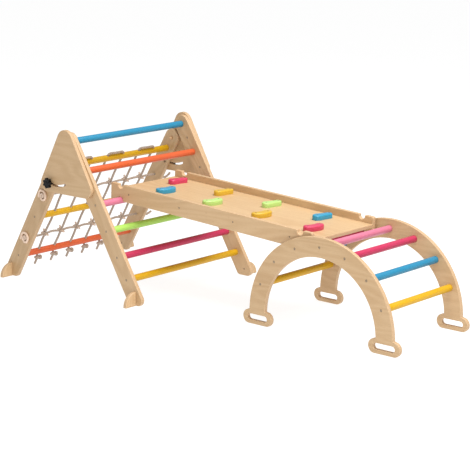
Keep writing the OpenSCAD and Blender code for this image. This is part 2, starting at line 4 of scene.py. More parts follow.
import bmesh
import bpy
import numpy as np
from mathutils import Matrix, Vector
from mathutils.geometry import tessellate_polygon


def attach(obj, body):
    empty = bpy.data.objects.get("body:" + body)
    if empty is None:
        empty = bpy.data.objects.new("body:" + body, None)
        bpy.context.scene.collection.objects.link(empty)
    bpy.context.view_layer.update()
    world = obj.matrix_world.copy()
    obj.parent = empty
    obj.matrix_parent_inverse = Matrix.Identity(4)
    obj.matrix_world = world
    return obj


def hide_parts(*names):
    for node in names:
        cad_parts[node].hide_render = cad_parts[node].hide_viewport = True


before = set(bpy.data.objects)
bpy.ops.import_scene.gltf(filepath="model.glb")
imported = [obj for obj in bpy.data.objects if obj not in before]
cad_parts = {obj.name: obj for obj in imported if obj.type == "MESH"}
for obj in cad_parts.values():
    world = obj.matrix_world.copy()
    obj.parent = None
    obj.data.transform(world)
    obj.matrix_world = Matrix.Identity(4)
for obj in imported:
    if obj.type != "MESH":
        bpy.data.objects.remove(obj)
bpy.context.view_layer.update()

# Sizes in millimetres, as in the part's source. A side view is (x, z) from the middle of the triangle or
# the arch, a place is a distance down a leg from the apex, and a circle is (x, z, radius).

SHIFT = -631.278
APEX_H = 685.0
LEAN = np.radians(31.2)
LEG_HALF = 42.0
SOLES = [(379.272, 24.0, 24.0), (419.585, 25.0, 25.0)]
LADDER_PLACES = np.linspace(20.0, 679.945, 6) + [0.0, 13.0, 41.0, 34.0, 26.0, 0.0]
ROPE_PLACES = LADDER_PLACES[[1, 3, 5]]
CROSS_PLACES = (325.01, LADDER_PLACES[4])
PLATE_BOLT_PLACES = (92.0, 245.51)
PLATE_CIRCLES = [(0.0, 671.487, 49.0), (-123.758, 471.0, 38.0), (123.758, 471.0, 38.0)]
PIVOT_PLACE = 104.942
PIVOT_HEAD = 5.3
SLOT_R, SLOT_HALF = 128.0, 5.0
SLOT_FROM, SLOT_TO = 248.8, 293.8
LADDER_FACE, LADDER_INSIDE = 364.0, 346.0
ROPE_FACE, ROPE_INSIDE = 363.5, 345.5
PLATE_FACE = 382.0
FOOT_AT = np.array([SOLES[1][0] - 16.0, 31.0])
FOOT_R, FOOT_T, FOOT_TIP = 62.0, 18.0, 3.0
RUNG_R = 15.0
BOLT_HOLE, SCREW_HOLE, ROPE_HOLE, INSERT_HOLE, PIVOT_HOLE = 5.6, 4.1, 5.8, 6.1, 4.05

NOTCHES = 1019.0
NOTCH_R, LIP_R = 15.3, 3.0
RAIL_PAST, RAIL_LOW, RAIL_TOP, RAIL_CORNER = 60.0, -4.0, 72.0, 8.0
RAIL_FACE, RAIL_INSIDE = 212.0, 194.0
RAIL_SCREW_FIRST, RAIL_SCREW_LAST, RAIL_MID = 50.0, 53.0, 34.0
DECK_LOW, DECK_TOP, HOLD_TOP = 26.5, 41.5, 63.5
DECK_CORNER = 3.0
HOLD_PITCH = 278.333
HOLD_SCREW_HOLE = 4.5
WAVE_FIRST, WAVE_ENDS = np.array([50.0, 104.0]), np.array([[-6.0, -32.0], [6.0, 32.0]])
WAVE_THICK, WAVE_THIN = 20.0, 15.0
BEAN_FIRST = np.array([148.0, -73.0])
BEAN_BEND, BEAN_HALF, BEAN_TURN, BEAN_REACH = 76.0, 18.5, 10.0, 32.0

ARCH_OUTER_R, ARCH_INNER_R, ARCH_CENTRE_H, ARCH_FILLET = 363.0, 280.0, 53.0, 4.0
ARCH_ROW_R, ARCH_ROW_H, ARCH_STEP = 331.5, 43.0, np.radians(22.2)
ARCH_FOOT_X, ARCH_FOOT_R, ARCH_FOOT_REACH = 320.64, 29.5, 46.0
HAND_R, HAND_REACH = 12.5, 39.0
ARCH_FACE, ARCH_INSIDE = 242.0, 224.0

STRANDS = np.linspace(-247.5, 247.5, 6)
ROPE_R = 5.5
STOPPER_AT, STRAND_END = 705.744, 748.2

# Roundings and mesh steps of the scene alone

EASE, SLOT_EASE, HOLE_EASE, RUNG_EASE, FOOT_EASE, DECK_EASE = 2.4, 1.2, 0.4, 1.2, 3.0, 1.2
HOLD_EASES, HOLD_HOLE_EASES = (0.8, 6.0), (0.3, 0.8)
FACE_INSET = 0.6
RUNG_SIDES, ROPE_SIDES, KNOB_SIDES, BOLT_SIDES = 56, 18, 112, 24
ROPE_STEP, ROPE_LAY = 1.4, 34.0
SIDES = (("front", -1), ("rear", 1))

# Shape tools


def on_leg(s):
    """Side view points at distance s down the ladder leg's middle line from the apex."""
    s = np.asarray(s, float)
    return np.stack([s * np.sin(LEAN), APEX_H - s * np.cos(LEAN)], -1)


def arc(centre, r, start, end, step=4.0):
    """Points centre + r (cos a, sin a) from one angle to another in degrees, at most a step apart."""
    n = max(2, int(np.ceil(abs(end - start) / step)) + 1)
    a = np.radians(np.linspace(start, end, n))
    return np.asarray(centre, float) + r * np.stack([np.cos(a), np.sin(a)], 1)


def hole(centre, r):
    """Clockwise circle for a hole."""
    return arc(centre, r, 360, 0, 15)[:-1]


def tangent_loop(circles):
    """Outline round circles listed anticlockwise: an arc on each between its outer tangents, whose
    normals lie at the heading less 90 degrees plus asin((ra - rb) / distance)."""
    c = np.array(circles, float)
    after = np.roll(c, -1, 0)
    way = after[:, :2] - c[:, :2]
    swing = np.arcsin((c[:, 2] - after[:, 2]) / np.hypot(way[:, 0], way[:, 1]))
    normal = np.degrees(np.arctan2(way[:, 1], way[:, 0]) + swing) - 90
    before = np.roll(normal, 1)
    return np.concatenate([arc(p[:2], p[2], b, b + (a - b) % 360) for p, a, b in zip(c, normal, before)])


def mirrored(line):
    """Outline turned over in X, still running the same way round."""
    return (line * [-1, 1])[::-1]


def mitre(line):
    """Shift of each corner for a unit inset: the sum of its two edge normals over one plus their
    product."""
    edge = np.roll(line, -1, 0) - line
    edge /= np.linalg.norm(edge, axis=1)[:, None]
    normal = np.stack([-edge[:, 1], edge[:, 0]], 1)
    before = np.roll(normal, 1, 0)
    return (normal + before) / np.maximum(1 + (normal * before).sum(1), 0.4)[:, None]


def quads(index):
    """Four-cornered faces between neighbouring rows of a grid of vertex numbers, closed round each
    row."""
    nxt = np.roll(index, -1, 1)
    return np.stack([index[:-1], nxt[:-1], nxt[1:], index[1:]], -1).reshape(-1, 4)


def piece(name, body, finish, verts, faces, node, marks=None):
    """Mesh object at the origin from vertices in millimetres, which rides on a body and stands for a
    node."""
    mesh = bpy.data.meshes.new(name)
    mesh.from_pydata((np.asarray(verts) * 0.001).tolist(), [], faces)
    for key, values in (marks or {}).items():
        made = mesh.attributes.new(key, "FLOAT", "POINT")
        made.data.foreach_set("value", np.asarray(values, np.float32))
    solid = bmesh.new()
    solid.from_mesh(mesh)
    bmesh.ops.recalc_face_normals(solid, faces=solid.faces)
    solid.to_mesh(mesh)
    solid.free()
    mesh.shade_smooth()
    mesh.materials.append(finish)
    obj = bpy.data.objects.new(name, mesh)
    bpy.context.scene.collection.objects.link(obj)
    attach(obj, body)
    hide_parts(node)


def board(name, body, finish, loops, levels, place, node, seed):
    """Board between two levels. Each outline (anticlockwise outside, clockwise at a hole, with a lower
    and an upper rounding) is carried up a profile whose edges are quarter circles: inset r (1 - sin a) at
    height r (1 - cos a). The two faces are filled between the innermost rows."""
    low, high = levels
    a = np.radians(np.linspace(0, 90, 5))
    dip, climb = 1 - np.sin(a), 1 - np.cos(a)
    bare = np.concatenate([[0], np.sin(a), np.sin(a)[::-1], [0]])
    verts, faces, thick, wall = [], [], [], []
    ends = ([], [])
    count = 0
    for line, low_r, high_r in loops:
        inset = np.concatenate([[low_r + FACE_INSET], low_r * dip,
                                high_r * dip[::-1], [high_r + FACE_INSET]])
        level = np.concatenate([[low], low + low_r * climb, high - high_r * climb[::-1], [high]])
        flat = line[None] + inset[:, None, None] * mitre(line)[None]
        rows, n = flat.shape[:2]
        index = count + np.arange(rows * n).reshape(rows, n)
        stood = np.broadcast_to(level[:, None, None], (rows, n, 1))
        verts.append(np.concatenate([flat, stood], 2).reshape(-1, 3))
        thick.append(np.repeat((level - low) / (high - low), n))
        wall.append(np.repeat(bare, n))
        faces += quads(index).tolist()
        for end, row in zip(ends, (0, -1)):
            end.append((index[row], flat[row]))
        count += rows * n
    for end in ends:
        corners = np.concatenate([ring for ring, line in end])
        filled = tessellate_polygon([[Vector(p) for p in line.tolist()] for ring, line in end])
        faces += corners[np.array(filled)].tolist()
    verts = place(np.concatenate(verts))
    marks = {"thick": np.concatenate(thick), "wall": np.concatenate(wall),
             "seed": np.full(len(verts), seed)}
    piece(name, body, finish, verts, faces, node, marks)


def in_side_view(x0=SHIFT):
    """Places (x, z, y) of a side view in the set."""
    return lambda p: np.stack([p[:, 0] + x0, p[:, 2], p[:, 1]], 1)


def in_ramp(p):
    """Places the ramp's own (along, across, up) in the set, turned down by its tilt."""
    x, y, z = p.T
    return np.stack([SHIFT + HOOK[0] + x * np.cos(TILT) + z * np.sin(TILT), y,
                     HOOK[1] - x * np.sin(TILT) + z * np.cos(TILT)], 1)


def in_net(p):
    """Places (s down the rope legs, y across, out from the net) in the set."""
    s, y, out = np.asarray(p, float).T
    return np.stack([SHIFT - s * np.sin(LEAN) - out * np.cos(LEAN), y,
                     APEX_H - s * np.cos(LEAN) + out * np.sin(LEAN)], 1)


def on_slot(angle):
    """Side view point on the arc slot's middle line, about the pivot."""
    return arc(PIVOT, SLOT_R, angle, angle)[0]


# Places worked out from the sizes: the ramp hooks on the third rung of the ladder and of the arch

PIVOT = on_leg(PIVOT_PLACE) * [-1, 1]
CLAMP = on_slot(SLOT_FROM)
HOOK = on_leg(LADDER_PLACES[2])
arch_turns = ARCH_STEP * np.arange(-3, 4)
ARCH_RUNGS = np.stack([ARCH_ROW_R * np.sin(arch_turns), ARCH_ROW_H + ARCH_ROW_R * np.cos(arch_turns)], 1)
TILT = np.arcsin((HOOK[1] - ARCH_RUNGS[2, 1]) / NOTCHES)
ARCH_X = SHIFT + HOOK[0] + NOTCHES * np.cos(TILT) - ARCH_RUNGS[2, 0]

# Finishes

BIRCH = {"face": (207, 174, 132), "figure": (192, 156, 112), "pale": (212, 181, 139),
         "fibre": (179, 140, 96), "pore": (138, 98, 62), "edge": (218, 187, 148),
         "edge_fibre": (206, 171, 130), "glue": (156, 115, 76)}
# Rope tones: its own pale tone, a greyer tone for painted shade, pale hairs, and a dark tone for painted
# shade in the grooves.
ROPE_TONES = {"own_tone": (236, 208, 186), "own_tone_dark": (224, 194, 170), "shaded_tone": (172, 154, 138),
              "shaded_tone_dark": (156, 138, 122), "hair": (232, 212, 192), "groove": (92, 72, 58)}
PAINTS = {"blue": (36, 128, 164), "orange": (206, 90, 44), "pink": (208, 116, 142), "green": (166, 212, 94),
          "raspberry": (187, 47, 86), "yellow": (208, 160, 14)}
HOLD_COLOURS = {"red": (204, 58, 94), "blue": (50, 148, 184), "yellow": (210, 168, 44),
                "green": (180, 216, 122)}
SATIN = {"coat": 0.06, "coat_rough": 0.25, "shine": 0.3, "rough": (0.3, 0.44), "fibre": 0.5}
GLOSS = {"coat": 0.15, "coat_rough": 0.15, "shine": 0.4, "rough": (0.28, 0.4), "fibre": 0.35}
FIGURE_RINGS, VENEER_PAIRS = 74.0, 6.5
SEED_STEP = (1.7, 0.9, 2.3)


def tone(colour):
    """Linear colour of a screen colour 0 to 255: ((c + 0.055) / 1.055) to the power 2.4."""
    c = np.array(colour) / 255.0
    return tuple(((c + 0.055) / 1.055) ** 2.4) + (1.0,)


def add(tree, kind, inputs=None, **settings):
    """Shader node with its settings, and its inputs given as values or linked from sockets."""
    made = tree.nodes.new(kind)
    for key, value in settings.items():
        setattr(made, key, value)
    for key, value in (inputs or {}).items():
        if isinstance(value, bpy.types.NodeSocket):
            tree.links.new(value, made.inputs[key])
        else:
            made.inputs[key].default_value = value
    return made


def maths(tree, operation, a, b=0.0):
    """One step of arithmetic on one or two values."""
    return add(tree, "ShaderNodeMath", {0: a, 1: b}, operation=operation).outputs[0]


def mix(tree, amount, a, b):
    """Colour a with an amount of colour b in it."""
    return add(tree, "ShaderNodeMix", {0: amount, 6: a, 7: b}, data_type="RGBA").outputs[2]


def spread(tree, value, low, high, to_low=0.0, to_high=1.0):
    """Value from low to high, spread over another range and held at its ends."""
    return add(tree, "ShaderNodeMapRange", {0: value, 1: low, 2: high, 3: to_low, 4: to_high}).outputs[0]


def mark(tree, key):
    """Number kept on the piece's points."""
    return add(tree, "ShaderNodeAttribute", attribute_name=key).outputs["Fac"]


def noise(tree, where, size, detail=2.0, rough=0.5):
    """Noise with a scale of its own along each axis, in waves per metre."""
    placed = add(tree, "ShaderNodeVectorMath", {0: where, 1: size}, operation="MULTIPLY").outputs[0]
    inputs = {"Vector": placed, "Scale": 1.0, "Detail": detail, "Roughness": rough}
    return add(tree, "ShaderNodeTexNoise", inputs).outputs["Fac"]


def new_finish(name, **sockets):
    """Material with its shader's own sockets set, an underscore standing for a space."""
    finish = bpy.data.materials.new(name)
    finish.use_nodes = True
    tree = finish.node_tree
    shader = tree.nodes["Principled BSDF"]
    for key, value in sockets.items():
        shader.inputs[key.replace("_", " ")].default_value = value
    return finish, tree, shader


def surface(tree, shader, colour, rough, height, distance, strength):
    """Links colour and roughness to the shader, and a bump that is a distance deep in metres."""
    raised = add(tree, "ShaderNodeBump", {"Height": height, "Distance": distance, "Strength": strength})
    tree.links.new(colour, shader.inputs["Base Color"])
    tree.links.new(rough, shader.inputs["Roughness"])
    tree.links.new(raised.outputs[0], shader.inputs["Normal"])


def object_place(tree):
    """Object coordinates."""
    return add(tree, "ShaderNodeTexCoord").outputs["Object"]


def along_grain(tree, turn=0.0):
    """Object coordinates turned about Y so that X runs along the grain, moved by each piece's seed."""
    turned = add(tree, "ShaderNodeMapping", {"Vector": object_place(tree), "Rotation": (0.0, turn, 0.0)})
    step = add(tree, "ShaderNodeVectorMath", {0: SEED_STEP, "Scale": mark(tree, "seed")}, operation="SCALE")
    both = {0: turned.outputs[0], 1: step.outputs[0]}
    return add(tree, "ShaderNodeVectorMath", both, operation="ADD").outputs[0]


def plywood(name, turn, flat=False, shade=1.0):
    """Clear-coated birch plywood: flame figure from the level lines of a stretched noise, fine fibre,
    short pores, and thin glue lines between cross-laid veneers on the edges."""
    finish, tree, shader = new_finish(name, Coat_Weight=0.12, Coat_Roughness=0.35)
    birch = {key: tone(colour) for key, colour in BIRCH.items()}
    where = along_grain(tree, turn)
    field = noise(tree, where, (1.3, 9.0, 2.0) if flat else (1.3, 2.0, 9.0), detail=1.5, rough=0.4)
    rings = maths(tree, "SINE", maths(tree, "MULTIPLY", field, FIGURE_RINGS))
    figure = maths(tree, "MULTIPLY", spread(tree, rings, -1.0, 1.0), 0.8)
    fibre = noise(tree, where, (14.0, 520.0, 520.0), detail=3.0, rough=0.6)
    drift = noise(tree, where, (2.2, 6.0, 6.0))
    pores = spread(tree, noise(tree, where, (55.0, 900.0, 900.0), detail=1.0), 0.66, 0.74)
    face = mix(tree, figure, birch["face"], birch["figure"])
    face = mix(tree, spread(tree, drift, 0.3, 0.7, 0.0, 0.55), face, birch["pale"])
    face = mix(tree, spread(tree, fibre, 0.3, 0.75, 0.0, 0.32), face, birch["fibre"])
    face = mix(tree, maths(tree, "MULTIPLY", pores, 0.35), face, birch["pore"])
    layer = maths(tree, "FRACT", maths(tree, "MULTIPLY", mark(tree, "thick"), VENEER_PAIRS))
    veneer = maths(tree, "MULTIPLY", spread(tree, layer, 0.47, 0.53), spread(tree, layer, 1.0, 0.94))
    edge = mix(tree, spread(tree, fibre, 0.3, 0.7), birch["edge"], birch["edge_fibre"])
    edge = mix(tree, maths(tree, "MULTIPLY", veneer, 0.5), edge, birch["glue"])
    colour = mix(tree, spread(tree, mark(tree, "wall"), 0.35, 0.8), face, edge)
    colour = add(tree, "ShaderNodeVectorMath", {0: colour, "Scale": shade}, operation="SCALE").outputs[0]
    rough = spread(tree, fibre, 0.2, 0.8, 0.4, 0.56)
    rough = maths(tree, "ADD", rough, maths(tree, "MULTIPLY", veneer, 0.05))
    height = maths(tree, "SUBTRACT", maths(tree, "MULTIPLY", fibre, 0.6), pores)
    surface(tree, shader, colour, rough, height, 0.00012, 0.5)
    return finish


def paint(name, colour, sheen):
    """Brushed colour on wood: thicker and thinner patches, the wood's fibre showing faintly through, and
    fine unevenness in the sheen."""
    finish, tree, shader = new_finish(name, Coat_Weight=sheen["coat"], Coat_Roughness=sheen["coat_rough"],
                                      Specular_IOR_Level=sheen["shine"])
    where = along_grain(tree)
    patch = noise(tree, where, (9.0, 7.0, 9.0), detail=3.0)
    fibre = noise(tree, where, (420.0, 13.0, 420.0), detail=3.0, rough=0.6)
    base = np.array(tone(colour))
    deep = np.append(base[:3] * 0.86, 1.0)
    pale = np.append(base[:3] * 0.98 + 0.02 * base[:3].max(), 1.0)
    body = mix(tree, spread(tree, patch, 0.3, 0.7), tuple(base), tuple(pale))
    body = mix(tree, spread(tree, fibre, 0.5, 0.8, 0.0, 0.5), body, tuple(deep))
    rough = spread(tree, patch, 0.25, 0.75, *sheen["rough"])
    surface(tree, shader, body, rough, fibre, 0.00008, sheen["fibre"])
    return finish


def twine(name):
    """Laid rope: pale fibre with hairs along the lay, greyed by painted shade where it hangs in the net,
    and darkened by painted shade where the yarns meet."""
    finish, tree, shader = new_finish(name, Sheen_Weight=0.15, Sheen_Roughness=0.6)
    rope = {key: tone(colour) for key, colour in ROPE_TONES.items()}
    where = object_place(tree)
    hairs = noise(tree, where, (900.0, 900.0, 900.0), detail=4.0, rough=0.7)
    drift = spread(tree, noise(tree, where, (45.0, 45.0, 45.0)), 0.3, 0.7)
    # Painted shade: the mark moves the rope from its own pale tone towards a greyer shaded one.
    own_tone = mix(tree, drift, rope["own_tone"], rope["own_tone_dark"])
    shaded_tone = mix(tree, drift, rope["shaded_tone"], rope["shaded_tone_dark"])
    body = mix(tree, mark(tree, "painted_shade"), own_tone, shaded_tone)
    body = mix(tree, spread(tree, hairs, 0.35, 0.7, 0.0, 0.3), body, rope["hair"])
    # Painted shade in the grooves between the yarns.
    body = mix(tree, spread(tree, mark(tree, "groove"), 0.35, 1.0, 0.0, 0.85), body, rope["groove"])
    surface(tree, shader, body, spread(tree, hairs, 0.2, 0.8, 0.78, 0.95), hairs, 0.0004, 0.6)
    return finish


def moulded(name):
    """Black moulded plastic with a fine spark-eroded grain, a little shinier where hands rub it."""
    finish, tree, shader = new_finish(name, Specular_IOR_Level=0.25)
    where = object_place(tree)
    grain = noise(tree, where, (1600.0, 1600.0, 1600.0))
    rub = noise(tree, where, (60.0, 60.0, 60.0))
    body = mix(tree, spread(tree, rub, 0.3, 0.7), tone((5, 5, 5)), tone((10, 10, 11)))
    surface(tree, shader, body, spread(tree, rub, 0.3, 0.7, 0.42, 0.58), grain, 0.0001, 0.4)
    return finish


def zinc(name, dark, pale):
    """Zinc-plated steel with a cloudy passivation tint and fine scratches."""
    finish, tree, shader = new_finish(name, Metallic=1.0)
    where = object_place(tree)
    cloud = noise(tree, where, (240.0, 240.0, 240.0), detail=3.0)
    scratch = noise(tree, where, (2500.0, 300.0, 2500.0))
    body = mix(tree, spread(tree, cloud, 0.3, 0.7), tone(dark), tone(pale))
    surface(tree, shader, body, spread(tree, cloud, 0.25, 0.75, 0.28, 0.44), scratch, 0.00005, 0.3)
    return finish


LADDER_PLY = plywood("plywood_ladder_leg", LEAN - np.pi / 2, shade=0.95)
ROPE_PLY = plywood("plywood_rope_leg", np.pi / 2 - LEAN, shade=0.88)
LEVEL_PLY = plywood("plywood_level", 0.0, shade=0.94)
RAIL_PLY = plywood("plywood_rail", TILT)
DECK_PLY = plywood("plywood_deck", TILT, flat=True)
FOOT_PLY = plywood("plywood_foot", np.pi / 2, flat=True)
PAINT = {key: paint(key + "_satin", colour, SATIN) for key, colour in PAINTS.items()}
HOLD_PAINT = {key: paint(key + "_gloss", colour, GLOSS) for key, colour in HOLD_COLOURS.items()}
TWINE = twine("laid_rope")
PLASTIC = moulded("black_moulding")
ZINC = zinc("zinc_steel", (150, 132, 112), (168, 150, 128))
YELLOW_ZINC = zinc("yellow_zinc_steel", (214, 172, 130), (224, 186, 146))

# Triangle: legs, head plates and foot plates


def between(side, face, inside):
    """Lower and upper level of a board on one side of the set."""
    return (-face, -inside) if side < 0 else (inside, face)


def eased(line, r=EASE):
    """Outline with the same rounding on both edges."""
    return (line, r, r)


def drilled(points, r):
    """Holes of one radius at several points."""
    return [eased(hole(p, r), HOLE_EASE) for p in points]


def leg_loops(top, holes):
    """Leg outline round its top end and its sole, and its holes, each set given as points and a
    radius."""
    outline = tangent_loop([tuple(on_leg(top)) + (LEG_HALF,)] + SOLES)
    return [eased(outline)] + [ring for points, r in holes for ring in drilled(points, r)]


def arc_slot():
    """Clockwise slot along an arc about the pivot, round at both ends."""
    return np.concatenate([arc(PIVOT, SLOT_R + SLOT_HALF, SLOT_FROM, SLOT_TO)[1:-1],
                           arc(on_slot(SLOT_TO), SLOT_HALF, SLOT_TO, SLOT_TO + 180, 15),
                           arc(PIVOT, SLOT_R - SLOT_HALF, SLOT_TO, SLOT_FROM)[1:-1],
                           arc(on_slot(SLOT_FROM), SLOT_HALF, SLOT_FROM + 180, SLOT_FROM + 360, 15)])[::-1]


def foot_outline():
    """Quarter circle against the leg: level along the floor, a small round at the tip, then the arc up to
    the leg."""
    start = np.degrees(np.arcsin(FOOT_TIP / FOOT_R)) + 2
    return np.concatenate([[[0.0, 0.0]], arc((FOOT_R - FOOT_TIP, FOOT_TIP), FOOT_TIP, -90, 0, 15),
                           arc((0, 0), FOOT_R, start, 90)])


def foot(name, body, side, turn, face, node, seed):
    """Quarter-round plate that stands square on the outer face of a leg."""
    levels = (FOOT_AT[0] - FOOT_T / 2, FOOT_AT[0] + FOOT_T / 2)
    board(name, body, FOOT_PLY, [eased(foot_outline(), FOOT_EASE)], levels,
          lambda p: np.stack([turn * p[:, 2] + SHIFT, side * (face + p[:, 0]), p[:, 1]], 1), node, seed)


ladder_loops = leg_loops(LADDER_PLACES[0], [
    (on_leg(LADDER_PLACES), BOLT_HOLE), (on_leg(PLATE_BOLT_PLACES), BOLT_HOLE),
    (FOOT_AT[None], SCREW_HOLE)])
rope_loops = [(mirrored(line), low, high) for line, low, high in leg_loops(PIVOT_PLACE, [
    (on_leg(ROPE_PLACES), BOLT_HOLE), (on_leg(CROSS_PLACES), ROPE_HOLE),
    (CLAMP[None] * [-1, 1], INSERT_HOLE), (on_leg([PIVOT_PLACE]), PIVOT_HOLE),
    (FOOT_AT[None], SCREW_HOLE)])]
plate_loops = [eased(tangent_loop(PLATE_CIRCLES)), eased(arc_slot(), SLOT_EASE)]
for n, (side_name, side) in enumerate(SIDES):
    board("ladder_upright_" + side_name, "ladder_frame", LADDER_PLY, ladder_loops,
          between(side, LADDER_FACE, LADDER_INSIDE), in_side_view(),
          "ladder_leg_" + side_name, seed=0.3 + 0.9 * n)
    board("rope_upright_" + side_name, "rope_frame", ROPE_PLY, rope_loops,
          between(side, ROPE_FACE, ROPE_INSIDE), in_side_view(),
          "rope_leg_" + side_name, seed=2.1 + 0.9 * n)
    board("apex_plate_" + side_name, "ladder_frame", LEVEL_PLY, plate_loops,
          between(side, PLATE_FACE, LADDER_FACE), in_side_view(),
          "head_plate_" + side_name, seed=4.1 + 0.9 * n)
for n, (side_name, side) in enumerate(SIDES):
    foot("ladder_foot_plate_" + side_name, "ladder_frame", side, 1, LADDER_FACE,
         "ladder_foot_" + side_name, seed=6.2 + n)
    foot("rope_foot_plate_" + side_name, "rope_frame", side, -1, ROPE_FACE,
         "rope_foot_" + side_name, seed=8.2 + n)

# Rungs

LADDER_BARS = ("blue", "orange", "pink", "green", "raspberry", "yellow")
ROPE_BARS = (("top", "yellow"), ("middle", "yellow"), ("bottom", "orange"))
ARCH_BARS = ("yellow", "blue", "raspberry", "pink", "raspberry", "blue", "yellow")


def rung(name, body, colour, at, half, node, seed):
    """Painted rung between two boards: a profile of (radius, length along) rows with quarter-round ends,
    carried round the rung's axis, its two ends filled."""
    a = np.radians(np.linspace(0, 90, 4))
    end = np.stack([RUNG_R - RUNG_EASE * (1 - np.sin(a)), -half + RUNG_EASE * (1 - np.cos(a))], 1)
    end = np.concatenate([[[RUNG_R - RUNG_EASE - FACE_INSET, -half]], end])
    profile = np.concatenate([end, (end * [1, -1])[::-1]])
    t = np.linspace(0, 2 * np.pi, RUNG_SIDES, endpoint=False)
    r, along = profile[:, :1], np.repeat(profile[:, 1:], RUNG_SIDES, 1)
    verts = np.stack([at[0] + r * np.cos(t), along, at[1] + r * np.sin(t)], -1).reshape(-1, 3)
    index = np.arange(len(verts)).reshape(-1, RUNG_SIDES)
    faces = quads(index).tolist() + index[[0, -1]].tolist()
    marks = {"seed": np.full(len(verts), seed)}
    piece(name, body, PAINT[colour], verts, faces, node, marks)


for i, colour in enumerate(LADDER_BARS):
    rung(f"ladder_bar_{i + 1}", "ladder_frame", colour, on_leg(LADDER_PLACES[i]) + [SHIFT, 0.0],
         LADDER_INSIDE, f"ladder_rung_{i + 1}", seed=0.7 * i)
for i, (part, colour) in enumerate(ROPE_BARS):
    rung("rope_bar_" + part, "rope_frame", colour, on_leg(ROPE_PLACES[i]) * [-1, 1] + [SHIFT, 0.0],
         ROPE_INSIDE, "rope_rung_" + part, seed=5.1 + 0.7 * i)
for i, colour in enumerate(ARCH_BARS):
    rung(f"arch_bar_{i + 1}", "arch", colour, ARCH_RUNGS[i] + [ARCH_X, 0.0], ARCH_INSIDE,
         f"arch_rung_{i + 1}", seed=8.3 + 0.7 * i)

# Ramp: rails, deck and holds


def rail_outline():
    """Long board with rounded corners and, at both ends, a notch for a rung from below and one from
    above."""
    left, right = RAIL_CORNER - RAIL_PAST, NOTCHES + RAIL_PAST - RAIL_CORNER
    low, high = RAIL_LOW + RAIL_CORNER, RAIL_TOP - RAIL_CORNER
    beside = NOTCH_R + LIP_R
    loop = [arc((left, low), RAIL_CORNER, 180, 270)]
    for x in (0.0, NOTCHES):
        loop += [arc((x - beside, RAIL_LOW + LIP_R), LIP_R, 270, 360, 15), arc((x, 0), NOTCH_R, 180, 0),
                 arc((x + beside, RAIL_LOW + LIP_R), LIP_R, 180, 270, 15)]
    loop += [arc((right, low), RAIL_CORNER, 270, 360), arc((right, high), RAIL_CORNER, 0, 90)]
    for x in (NOTCHES, 0.0):
        loop += [arc((x + beside, RAIL_TOP - LIP_R), LIP_R, 90, 180, 15),
                 arc((x, RAIL_LOW + RAIL_TOP), NOTCH_R, 0, -180),
                 arc((x - beside, RAIL_TOP - LIP_R), LIP_R, 0, 90, 15)]
    loop.append(arc((left, high), RAIL_CORNER, 90, 180))
    return np.concatenate(loop)


def deck_outline():
    """Rectangle between the rails with small round corners."""
    left, right = DECK_CORNER - RAIL_PAST, NOTCHES + RAIL_PAST - DECK_CORNER
    half = RAIL_INSIDE - DECK_CORNER
    corners = ((left, -half), (right, -half), (right, half), (left, half))
    return tangent_loop([corner + (DECK_CORNER,) for corner in corners])


rail_screws = np.linspace(RAIL_SCREW_FIRST, NOTCHES - RAIL_SCREW_LAST, 4)
rail_screws = np.stack([rail_screws, np.full(4, RAIL_MID)], 1)
rail_loops = [eased(rail_outline())] + drilled(rail_screws, SCREW_HOLE)
for n, (side_name, side) in enumerate(SIDES):
    board("ramp_side_" + side_name, "ramp", RAIL_PLY, rail_loops,
          between(side, RAIL_FACE, RAIL_INSIDE), lambda p: in_ramp(p[:, [0, 2, 1]]),
          "ramp_rail_" + side_name, seed=10.4 + 1.3 * n)
board("ramp_deck", "ramp", DECK_PLY, [eased(deck_outline(), DECK_EASE)], (DECK_LOW, DECK_TOP),
      in_ramp, "ramp_board", seed=13.7)

bean_sweep = np.degrees(np.arcsin(BEAN_REACH / BEAN_BEND))
BEAN_FROM, BEAN_TO = -bean_sweep - BEAN_TURN, bean_sweep - BEAN_TURN
BEAN_MID = arc((0, 0), BEAN_BEND, 180 - BEAN_TURN, 180 - BEAN_TURN)[0]
BEAN_ENDS = arc(BEAN_MID, BEAN_BEND, BEAN_FROM, BEAN_TO)[[0, -1]]


def bean_loop():
    """Kidney outline: a part of a ring with round ends, turned a little along the ramp."""
    return np.concatenate([arc(BEAN_MID, BEAN_BEND + BEAN_HALF, BEAN_FROM, BEAN_TO, 3)[1:-1],
                           arc(BEAN_ENDS[1], BEAN_HALF, BEAN_TO, BEAN_TO + 180, 8),
                           arc(BEAN_MID, BEAN_BEND - BEAN_HALF, BEAN_TO, BEAN_FROM, 3)[1:-1],
                           arc(BEAN_ENDS[0], BEAN_HALF, BEAN_FROM + 180, BEAN_FROM + 360, 8)])


def wave_loop():
    """Tapered bar: a straight spine whose half width eases from thick to thin over 0.62 of its length by
    the smooth step e e (3 - 2 e), round at both ends."""
    thick, thin = WAVE_ENDS
    t = np.linspace(0, 1, 24)[:, None]
    ease = np.clip(t / 0.62, 0, 1)
    r = WAVE_THICK - (WAVE_THICK - WAVE_THIN) * ease * ease * (3 - 2 * ease)
    way = (thin - thick) / np.linalg.norm(thin - thick)
    right = np.array([way[1], -way[0]])
    spine = thick + (thin - thick) * t
    head = np.degrees(np.arctan2(way[1], way[0]))
    return np.concatenate([(spine + r * right)[1:-1], arc(thin, WAVE_THIN, head - 90, head + 90, 8),
                           (spine - r * right)[::-1][1:-1],
                           arc(thick, WAVE_THICK, head + 90, head + 270, 8)])


